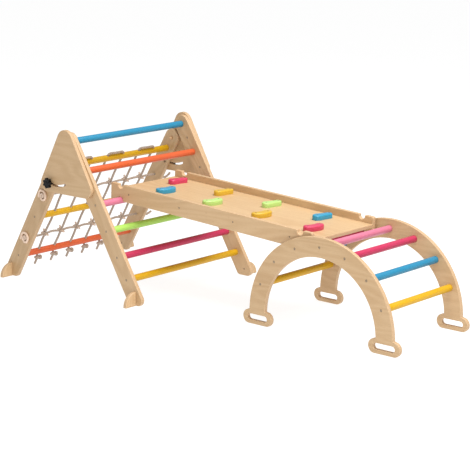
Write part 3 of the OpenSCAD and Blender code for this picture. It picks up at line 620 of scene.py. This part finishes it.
HOLD_ROW = ("red", "blue", "yellow", "green", "green", "yellow", "blue", "red")
HOLD_SHAPES = ((wave_loop(), WAVE_ENDS, WAVE_FIRST), (bean_loop(), BEAN_ENDS, BEAN_FIRST))
hold_screws = []
for i, colour in enumerate(HOLD_ROW):
    outline, ends, first = HOLD_SHAPES[i % 2]
    at = first + [HOLD_PITCH * (i // 2), 0.0]
    hold_screws.append(ends + at)
    loops = [(outline + at, *HOLD_EASES)]
    loops += [(hole(p, HOLD_SCREW_HOLE), *HOLD_HOLE_EASES) for p in ends + at]
    board(f"grip_{i + 1}", "ramp", HOLD_PAINT[colour], loops, (DECK_TOP, HOLD_TOP),
          in_ramp, f"hold_{i + 1}", seed=0.77 * i)
hold_screws = np.concatenate(hold_screws)

# Arch


def arch_loop():
    """Ring that runs on below its centre to two long round-ended feet, with small fillets where ring and
    feet meet: each fillet's centre is a set distance from the ring's centre and above the foot."""
    fillet_h = 2 * ARCH_FOOT_R + ARCH_FILLET
    rise = fillet_h - ARCH_CENTRE_H
    fillets = []
    for r in (ARCH_OUTER_R + ARCH_FILLET, ARCH_INNER_R - ARCH_FILLET):
        far = np.sqrt(r ** 2 - rise ** 2)
        fillets.append(((far, fillet_h), np.degrees(np.arctan2(rise, far))))
    (outer, a), (inner, b) = fillets
    toe, heel = ((ARCH_FOOT_X + s * ARCH_FOOT_REACH, ARCH_FOOT_R) for s in (1, -1))
    up = np.concatenate([arc(toe, ARCH_FOOT_R, -90, 90), arc(outer, ARCH_FILLET, 270, 180 + a, 15)])
    down = np.concatenate([arc(inner, ARCH_FILLET, b, -90, 15), arc(heel, ARCH_FOOT_R, 90, 270)])
    centre = (0.0, ARCH_CENTRE_H)
    return np.concatenate([up, arc(centre, ARCH_OUTER_R, a, 180 - a, 2)[1:-1], mirrored(up), mirrored(down),
                           arc(centre, ARCH_INNER_R, 180 - b, b, 2)[1:-1], down])


def hand_slot(x):
    """Clockwise round-ended slot in a foot."""
    return np.concatenate([arc((x + HAND_REACH, ARCH_FOOT_R), HAND_R, -90, 90, 10),
                           arc((x - HAND_REACH, ARCH_FOOT_R), HAND_R, 90, 270, 10)])[::-1]


arch_loops = [eased(arch_loop()), eased(hand_slot(ARCH_FOOT_X)), eased(hand_slot(-ARCH_FOOT_X))]
arch_loops += drilled(ARCH_RUNGS, BOLT_HOLE)
for n, (side_name, side) in enumerate(SIDES):
    board("arch_side_" + side_name, "arch", LEVEL_PLY, arch_loops,
          between(side, ARCH_FACE, ARCH_INSIDE), in_side_view(ARCH_X),
          "arch_panel_" + side_name, seed=15.2 + 1.1 * n)

# Bolts and screws: head radius, head height, shank radius, reach from the wood's face and sink under it

RUNG_BOLT = (5.5, 4.0, 3.0, 60.0, 0.3)
PLATE_BOLT = (5.5, 4.0, 3.0, 30.0, 0.3)
PIVOT_BOLT = (8.0, 5.0, 4.0, 35.8, 0.0)
FOOT_SCREW = (4.0, 3.0, 2.0, 48.0, 0.3)
RAIL_SCREW = (4.0, 3.0, 2.0, 50.0, 0.3)
HOLD_SCREW = (4.0, 3.0, 2.0, 33.0, 0.3)
SOCKET_R = 2.5


def fasteners(node, body, faces_at, ways, sizes, finish=ZINC):
    """Socket-head fasteners from points on the wood's face along their ways in: one profile of (radius,
    depth) rows, six-sided in the socket (r cos 30 / cos of the angle from the middle of a flat), copied
    to every place."""
    head_r, head_h, shank_r, reach, sink = sizes
    t = np.linspace(0, 2 * np.pi, BOLT_SIDES, endpoint=False)
    six = SOCKET_R * np.cos(np.pi / 6) / np.cos((t % (np.pi / 3)) - np.pi / 6)
    ring = np.ones(BOLT_SIDES)
    rows = [(six, sink + head_h / 2), (six, sink + 0.2), (six + 0.25, sink),
            ((head_r - 0.7) * ring, sink), ((head_r - 0.2) * ring, sink + 0.2), (head_r * ring, sink + 0.7),
            (head_r * ring, sink + head_h), (shank_r * ring, sink + head_h), (shank_r * ring, reach)]
    r = np.array([row[0] for row in rows])[None, ..., None]
    deep = np.array([row[1] for row in rows])[None, :, None, None]
    side = np.cross(ways, [1.0, 0.0, 0.0])
    side /= np.linalg.norm(side, axis=1)[:, None]
    at, way, side, up = (v[:, None, None] for v in (faces_at, ways, side, np.cross(ways, side)))
    round_to = np.cos(t)[:, None] * side + np.sin(t)[:, None] * up
    verts = at + r * round_to + deep * way
    index = np.arange(verts.size // 3).reshape(len(faces_at), len(rows), BOLT_SIDES)
    faces = np.concatenate([quads(one) for one in index]).tolist()
    faces += index[:, 0].tolist() + index[:, -1].tolist()
    piece(node[:-1] + "_set", body, finish, verts.reshape(-1, 3), faces, node)


def both_sides(points, x0, face, turn=1, inward=1):
    """Face points and ways in of fasteners at the same side-view points on the front and the rear
    board."""
    p = np.atleast_2d(points)
    at = [np.stack([turn * p[:, 0] + x0, np.full(len(p), s * face), p[:, 1]], 1) for s in (-1, 1)]
    ways = [np.tile([0.0, -s * inward, 0.0], (len(p), 1)) for s in (-1, 1)]
    return np.concatenate(at), np.concatenate(ways)


fasteners("ladder_rung_bolts", "ladder_frame",
          *both_sides(on_leg(LADDER_PLACES), SHIFT, LADDER_FACE), RUNG_BOLT)
fasteners("head_plate_bolts", "ladder_frame",
          *both_sides(on_leg(PLATE_BOLT_PLACES), SHIFT, LADDER_INSIDE, inward=-1), PLATE_BOLT)
fasteners("pivot_bolts", "ladder_frame",
          *both_sides(PIVOT, SHIFT, ROPE_INSIDE - PIVOT_HEAD, inward=-1), PIVOT_BOLT, YELLOW_ZINC)
fasteners("ladder_foot_screws", "ladder_frame",
          *both_sides(FOOT_AT, SHIFT, LADDER_INSIDE, inward=-1), FOOT_SCREW)
fasteners("rope_foot_screws", "rope_frame",
          *both_sides(FOOT_AT, SHIFT, ROPE_INSIDE, turn=-1, inward=-1), FOOT_SCREW)
fasteners("rope_rung_bolts", "rope_frame",
          *both_sides(on_leg(ROPE_PLACES), SHIFT, ROPE_FACE, turn=-1), RUNG_BOLT)
fasteners("arch_rung_bolts", "arch", *both_sides(ARCH_RUNGS, ARCH_X, ARCH_FACE), RUNG_BOLT)
rail_at, rail_ways = both_sides(rail_screws, 0.0, RAIL_FACE)
fasteners("ramp_rail_screws", "ramp", in_ramp(rail_at), rail_ways, RAIL_SCREW)
hold_at = np.column_stack([hold_screws, np.full(len(hold_screws), HOLD_TOP)])
fasteners("hold_screws", "ramp", in_ramp(hold_at),
          np.tile([-np.sin(TILT), 0.0, -np.cos(TILT)], (len(hold_screws), 1)), HOLD_SCREW)
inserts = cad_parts["clamp_inserts"]
inserts.data.materials.clear()
inserts.data.materials.append(ZINC)

# Star knobs

LOBES, LOBE_IN, LOBE_OUT = 7, 16.0, 8.0
HUB_R, STUD_R, STUD_IN = 12.0, 4.0, -29.8
KNOB_GAP, KNOB_LOW, KNOB_TOP = 0.3, 8.0, 24.0


def star_knob(name, body, side, node):
    """Lobed grip on a hub and stud: rings about the axis, round or with a radius of LOBE_IN plus LOBE_OUT
    times (0.5 + 0.5 cos of the angle times the lobes) to the power 0.65. The rows run from the stud's end
    up the hub, out under the lobes, over their rounded rim and across a shallow groove to the middle of
    the top."""
    t = np.linspace(0, 2 * np.pi, KNOB_SIDES, endpoint=False)
    star = LOBE_IN + LOBE_OUT * (0.5 + 0.5 * np.cos(LOBES * t)) ** 0.65
    ring = np.ones(KNOB_SIDES)
    rows = [(STUD_R * ring, STUD_IN), (STUD_R * ring, 0.0),
            ((HUB_R - 0.6) * ring, 0.0), (HUB_R * ring, 0.7), (HUB_R * ring, KNOB_LOW - 0.8),
            (0.5 * (HUB_R + star - 2), KNOB_LOW), (star - 1.6, KNOB_LOW + 0.2),
            (star - 0.5, KNOB_LOW + 0.8), (star, KNOB_LOW + 2.0), (star, KNOB_TOP - 3.5),
            (star - 0.5, KNOB_TOP - 1.8), (star - 1.6, KNOB_TOP - 0.6), (star - 3.2, KNOB_TOP),
            (14.0 * ring, KNOB_TOP), (13.2 * ring, KNOB_TOP - 0.7), (12.6 * ring, KNOB_TOP - 1.1),
            (9.4 * ring, KNOB_TOP - 1.1), (8.8 * ring, KNOB_TOP - 0.5), (8.0 * ring, KNOB_TOP - 0.2),
            (4.0 * ring, KNOB_TOP)]
    r = np.array([row[0] for row in rows])
    out = np.repeat(np.array([row[1] for row in rows])[:, None], KNOB_SIDES, 1)
    verts = np.stack([SHIFT + CLAMP[0] + r * np.cos(t), side * (PLATE_FACE + KNOB_GAP + out),
                      CLAMP[1] + r * np.sin(t)], -1)
    index = np.arange(verts.size // 3).reshape(len(rows), KNOB_SIDES)
    faces = quads(index).tolist() + index[[0, -1]].tolist()
    piece(name, body, PLASTIC, verts.reshape(-1, 3), faces, node)


for side_name, side in SIDES:
    star_knob("star_grip_" + side_name, "knob_" + side_name, side, "clamp_knob_" + side_name)

# Ropes


def smooth_path(points):
    """Even points on a smooth curve through the given ones: between two of them, the cubic with half the
    chord of their neighbours as slopes, read off at equal lengths."""
    p = np.asarray(points, float)
    p = np.concatenate([[2 * p[0] - p[1]], p, [2 * p[-1] - p[-2]]])
    t = np.linspace(0, 1, 10, endpoint=False)[None, :, None]
    a, b, c, d = (p[i:len(p) - 3 + i, None] for i in range(4))
    square, cube = 2 * a - 5 * b + 4 * c - d, 3 * b - a - 3 * c + d
    curve = 0.5 * (2 * b + (c - a) * t + square * t ** 2 + cube * t ** 3)
    curve = np.concatenate([curve.reshape(-1, 3), p[-2:-1]])
    run = np.concatenate([[0], np.cumsum(np.linalg.norm(np.diff(curve, axis=0), axis=1))])
    even = np.linspace(0, run[-1], int(run[-1] / ROPE_STEP) + 1)
    return np.stack([np.interp(even, run, curve[:, i]) for i in range(3)], 1), even


def carried_sides(path):
    """Two cross directions along a path that never spin about it: the small turn from each heading to the
    next (identity + K + K K / (1 + cos), K the cross-product matrix) multiplied up along the path by
    doubling."""
    heading = np.gradient(path, axis=0)
    heading /= np.linalg.norm(heading, axis=1)[:, None]
    x, y, z = np.cross(heading[:-1], heading[1:]).T
    zero = np.zeros(len(x))
    k = np.stack([zero, -z, y, z, zero, -x, -y, x, zero], 1).reshape(-1, 3, 3)
    turn = np.eye(3) + k + k @ k / (1 + (heading[:-1] * heading[1:]).sum(1))[:, None, None]
    total = np.concatenate([np.eye(3)[None], turn])
    step = 1
    while step < len(total):
        total[step:] = total[step:] @ total[:-step]
        step *= 2
    first = np.cross(heading[0], [0.31, 0.52, 0.79])
    side = total @ (first / np.linalg.norm(first))
    return side, np.cross(heading, side)


def laid_tube(points, r=ROPE_R, painted_shade=(1.0,), closed=False, soft=False):
    """Three-yarn rope along a smooth path: radius r (1 - c + c |cos 1.5 q|), where the angle q turns once
    in each lay length and c is 0.2, or 0.1 for soft new rope, drawn in at the two ends. Painted shade is
    spread along the run. Returns vertices, sides, end caps, groove depth and painted shade."""
    path, run = smooth_path(points)
    side, up = carried_sides(path)
    t = np.linspace(0, 2 * np.pi, ROPE_SIDES, endpoint=False)
    yarn = np.abs(np.cos(1.5 * (t[None] - 2 * np.pi * run[:, None] / ROPE_LAY)))
    end = np.clip(np.minimum(run, run[-1] - run) / 3.0, 1.0 if closed else 0.06, 1.0)
    carve, dark = (0.1, 0.5) if soft else (0.2, 0.85)
    radius = r * (1 - carve + carve * yarn) * np.sqrt(1 - (1 - end) ** 2)[:, None]
    round_to = np.cos(t)[None, :, None] * side[:, None] + np.sin(t)[None, :, None] * up[:, None]
    verts = path[:, None] + radius[..., None] * round_to
    index = np.arange(len(path) * ROPE_SIDES).reshape(-1, ROPE_SIDES)
    # Painted shade spread along the run from the given values.
    shade_along = np.interp(run / run[-1], np.linspace(0, 1, len(painted_shade)), painted_shade)
    # Painted shade in the grooves, lighter on the soft rope.
    groove = (1 - yarn) * dark
    painted_shade = np.repeat(shade_along, ROPE_SIDES)
    return verts.reshape(-1, 3), quads(index), index[[0, -1]], groove.reshape(-1), painted_shade


def rope_piece(name, runs, node):
    """One rope node from several laid tubes, each given in the net's (down, across, out)."""
    verts, sides, caps, groove, painted_shade = zip(*[laid_tube(in_net(points), **kind) for points, kind in runs])
    starts = np.cumsum([0] + [len(v) for v in verts])
    faces = np.concatenate([f + s for f, s in zip(sides, starts)]).tolist()
    faces += np.concatenate([c + s for c, s in zip(caps, starts)]).tolist()
    marks = {"groove": np.concatenate(groove), "painted_shade": np.concatenate(painted_shade)}
    piece(name, "rope_frame", TWINE, np.concatenate(verts), faces, node, marks)


SET_FROM, SET_RUN, SET_IN = 692.0, 14.0, 14.0


def set_in(s):
    """Smooth step inwards, t t (3 - 2 t), between the bottom rung and the stopper knot."""
    t = np.clip((s - SET_FROM) / SET_RUN, 0, 1)
    return -SET_IN * t * t * (3 - 2 * t)


def strand(y, phase):
    """One hanging strand from above the top rung down to its tail: two slow sine waves across and out,
    which die away at the rungs and the crossings."""
    s = np.append(np.arange(152, STRAND_END - 6, 5.0), STRAND_END)
    slack = np.abs(np.sin(np.pi * (s - 165) / 142.5)) ** 0.5 * (s < 680)
    return np.stack([s, y + 1.6 * slack * np.sin(s / 33 + phase),
                     1.1 * slack * np.sin(s / 41 + 2 * phase) + set_in(s)], 1)


def over_rung(first, last):
    """Rope over the top rung from one strand's hole to the next, standing a little clear of the wood: its
    place is given against the reach from the hole."""
    reach = np.array([1.5, 9.0, 19.0, 32.0, 49.5])
    rise = np.array([146.0, 139.6, 138.4, 138.8, 139.2])
    half = np.stack([rise, first + reach, 0.6 * np.sin(reach / 12)], 1)
    other = np.stack([rise, last - reach, -0.8 * np.sin(reach / 12)], 1)
    return np.concatenate([half, other[-2::-1]])


def stopper(y, turn):
    """Figure-eight stopper knot: across 15.2 sin t, along 4.4 sin 2 t and through 4.6 cos t, turned about
    the strand, its middle 1 down, 4 to the rear and 15 in."""
    t = np.linspace(0, 2 * np.pi, 33) + 0.7
    across, through = 15.2 * np.sin(t), 4.6 * np.cos(t)
    c, d = np.cos(turn), np.sin(turn)
    return np.stack([STOPPER_AT + 1 + 4.4 * np.sin(2 * t), y + 4 + c * across - d * through,
                     -15 - d * across - c * through], 1)


for k in range(3):
    first, last = STRANDS[2 * k], STRANDS[2 * k + 1]
    line = np.concatenate([strand(first, 1.3 * k)[::-1], over_rung(first, last),
                           strand(last, 1.3 * k + 2.1)])
    runs = [(line, {})]
    for i, y in enumerate((first, last)):
        runs.append((stopper(y, 0.22 + 0.12 * np.sin(2.1 * k + 3 * i)), {"r": 6.1, "closed": True}))
    rope_piece(f"hanging_rope_{k + 1}", runs, f"net_rope_{k + 1}")


def end_snail(s):
    """Flat snail outside the front leg: its radius is read off against the angle, from the free end round
    a wide turn and a narrow one, and it dives from the narrow turn into the leg's hole."""
    turn = [203, 185, 165, 140, 117, 90, 60, 20, -20, -60, -90, -115, -140, -180, -230, -330, -400, -460]
    far = [28, 23.5, 22.5, 24, 24.5, 23, 21.5, 20.5, 20.5, 21, 20, 16.5, 12.5, 9, 7.6, 7.2, 6.6, 5]
    a = np.arange(203, -461, -12.0)
    r = np.interp(-a, -np.array(turn), far)
    lift = np.interp(-a, [-203, 60, 150, 400, 460], [5.8, 5.8, 7.0, 6.6, 5.5])
    x, z = r * np.cos(np.radians(a)), r * np.sin(np.radians(a))
    snail = np.stack([s - x * np.sin(LEAN) - z * np.cos(LEAN), -ROPE_FACE - lift,
                      z * np.sin(LEAN) - x * np.cos(LEAN)], 1)
    return np.concatenate([snail, [[s, -ROPE_FACE + 2, 0], [s, -ROPE_INSIDE - 6, 0]]])


def rear_knot(s, swing):
    """Rope wound 1.8 times round itself outside the rear leg: a helix 10.4 long whose radius eases from
    12 to 9.4, with both ends tucked in to 4.5."""
    t = np.linspace(0, 1, 26)
    tuck = np.clip(np.minimum(t, 1 - t) / 0.09, 0, 1)
    r = 4.5 + (7.5 - 2.6 * t) * tuck
    a = np.radians(swing + 360 * 1.8 * t)
    return np.stack([s + r * np.cos(a), ROPE_FACE + 11.2 + 10.4 * t - 5.2, r * np.sin(a)], 1)


def cross_line(s, phase):
    """Cross rope between the legs: a hitch of nearly one and a half turns round every strand, and a
    slight hump between, turned down before the first strand."""
    line = [[[s, -ROPE_INSIDE - 8, 0], [s, -ROPE_INSIDE, 0], [s, -ROPE_INSIDE + 9, 0]]]
    turn = np.radians(np.linspace(165, -345, 16))
    before = -ROPE_INSIDE + 9
    for i, y in enumerate(STRANDS):
        span = np.linspace(before + 10, y - 20, 6)
        hump = 4.2 * np.sin(np.pi * np.linspace(0.12, 0.88, 6)) * (1.0 if i else -0.6)
        hump = hump * (1 + 0.4 * np.sin(i + phase))
        line.append(np.stack([s - hump, span, 1.2 * np.sin(span / 17 + phase)], 1))
        hitch = np.stack([s + np.linspace(-6.4, 6.4, 16), y + 8.4 * np.cos(turn), 8.4 * np.sin(turn)], 1)
        line += [[[s - 4.0, y - 13.5, 1.5]], hitch, [[s + 3.8, y + 13.5, 1.0]]]
        before = y + 11
    span = np.linspace(before + 12, ROPE_INSIDE - 8, 6)
    line.append(np.stack([s + 2.0 * np.sin(np.linspace(0, -np.pi, 6)), span, np.linspace(0.6, 0, 6)], 1))
    line.append([[s, ROPE_INSIDE, 0], [s, ROPE_INSIDE + 9, 0]])
    return np.concatenate([np.asarray(part, float) for part in line])


def bight(s, y, tip):
    """Narrow loop of rope out of a crossing to a tip and back, its two runs side by side: a share of the
    way to the tip, and a swing to either side."""
    beside = 3.9 * np.array([0.52, 0.73, 0.44])
    out = np.array([0.0, 0.35, 0.7, 0.92, 1.0, 0.92, 0.7, 0.35, 0.0])[:, None]
    swing = np.array([-0.6, -1.0, -1.0, -0.75, 0.0, 0.75, 1.0, 1.0, 0.6])[:, None]
    return np.array([s, y, 0.0]) + out * tip + swing * beside


BIGHT_TIPS = np.array([[-13.5, 0.4, 15.4], [0.3, 8.2, -14.0], [1.7, -8.5, 12.1]])
TAIL_START = [(0, 352, 0), (0, 366, 0), (2, 380, -1)]
UPPER_TAIL = TAIL_START + [(10, 391, -11), (13, 402, -21), (0, 414, -25), (-16, 424, -24)]
LOWER_TAIL = TAIL_START + [(7, 392, -4), (6, 404, -12), (-8, 415, -18), (-19, 424, -20)]
LEVEL_ROPES = (("upper", CROSS_PLACES[0], 0.4, UPPER_TAIL), ("lower", CROSS_PLACES[1], 1.7, LOWER_TAIL))
for part, s, phase, tail in LEVEL_ROPES:
    # Painted shade along each run: full on the cross rope, none on the snail's outer turns and more towards
    # its middle, some on the knot, the bights and the tail.
    runs = [(cross_line(s, phase), {"r": 5.4}),
            (end_snail(s), {"painted_shade": (0.0, 0.0, 0.0, 0.3, 0.8), "soft": True}),
            (rear_knot(s, 200.0 + 60 * phase), {"painted_shade": (0.3,)}),
            (np.array(tail) + [s, 0, 0], {"painted_shade": (0.8,)})]
    runs += [(bight(s, y, tip), {"r": 4.5, "painted_shade": (0.35,)}) for y in STRANDS for tip in BIGHT_TIPS]
    rope_piece("level_rope_" + part, runs, "cross_rope_" + part)

# Floor, light and camera, in metres

WHITE = (1.0, 1.0, 1.0, 1.0)
FLOOR_HALF, FLOOR_GLOW, ROOM_GLOW = 60.0, 0.86, 0.40
CAMERA_AT, CAMERA_WAY = (4.373932, -4.900, 1.760), (-0.6477, 0.7296, -0.2193)
CAMERA_LENS, CAMERA_SENSOR = 119.15, 36.0

floor_corners = FLOOR_HALF * np.array([[-1, -1, 0], [1, -1, 0], [1, 1, 0], [-1, 1, 0]])
floor_mesh = bpy.data.meshes.new("floor")
floor_mesh.from_pydata(floor_corners.tolist(), [], [(0, 1, 2, 3)])
floor_mesh.materials.append(new_finish("floor_white", Base_Color=(0.25, 0.25, 0.25, 1.0), Roughness=0.9,
                                       Emission_Color=WHITE, Emission_Strength=FLOOR_GLOW)[0])
floor = bpy.data.objects.new("floor", floor_mesh)
bpy.context.scene.collection.objects.link(floor)

world = bpy.data.worlds.new("studio")
world.use_nodes = True
world.node_tree.nodes["Background"].inputs["Color"].default_value = WHITE
world.node_tree.nodes["Background"].inputs["Strength"].default_value = ROOM_GLOW
bpy.context.scene.world = world


def facing(way):
    """Turn that points a light or a camera along a way."""
    return Vector(way).to_track_quat("-Z", "Y").to_euler()


def soft_light(name, at, aim, size, power):
    """Square studio light at a point, turned to face another."""
    lamp = bpy.data.lights.new(name, "AREA")
    lamp.size = size
    lamp.energy = power
    obj = bpy.data.objects.new(name, lamp)
    obj.location = at
    obj.rotation_euler = facing(Vector(aim) - Vector(at))
    bpy.context.scene.collection.objects.link(obj)


soft_light("key_light", at=(1.9, 0.0, 4.9), aim=(0.0, 0.0, 0.3), size=4.2, power=375.0)
soft_light("front_light", at=(3.7, -3.8, 0.9), aim=(-0.2, 0.0, 0.2), size=2.4, power=78.0)

lens = bpy.data.cameras.new("camera")
lens.lens = CAMERA_LENS
lens.sensor_width = CAMERA_SENSOR
camera = bpy.data.objects.new("camera", lens)
camera.location = CAMERA_AT
camera.rotation_euler = facing(CAMERA_WAY)
bpy.context.scene.collection.objects.link(camera)
bpy.context.scene.camera = camera
bpy.context.scene.view_settings.view_transform = "Standard"
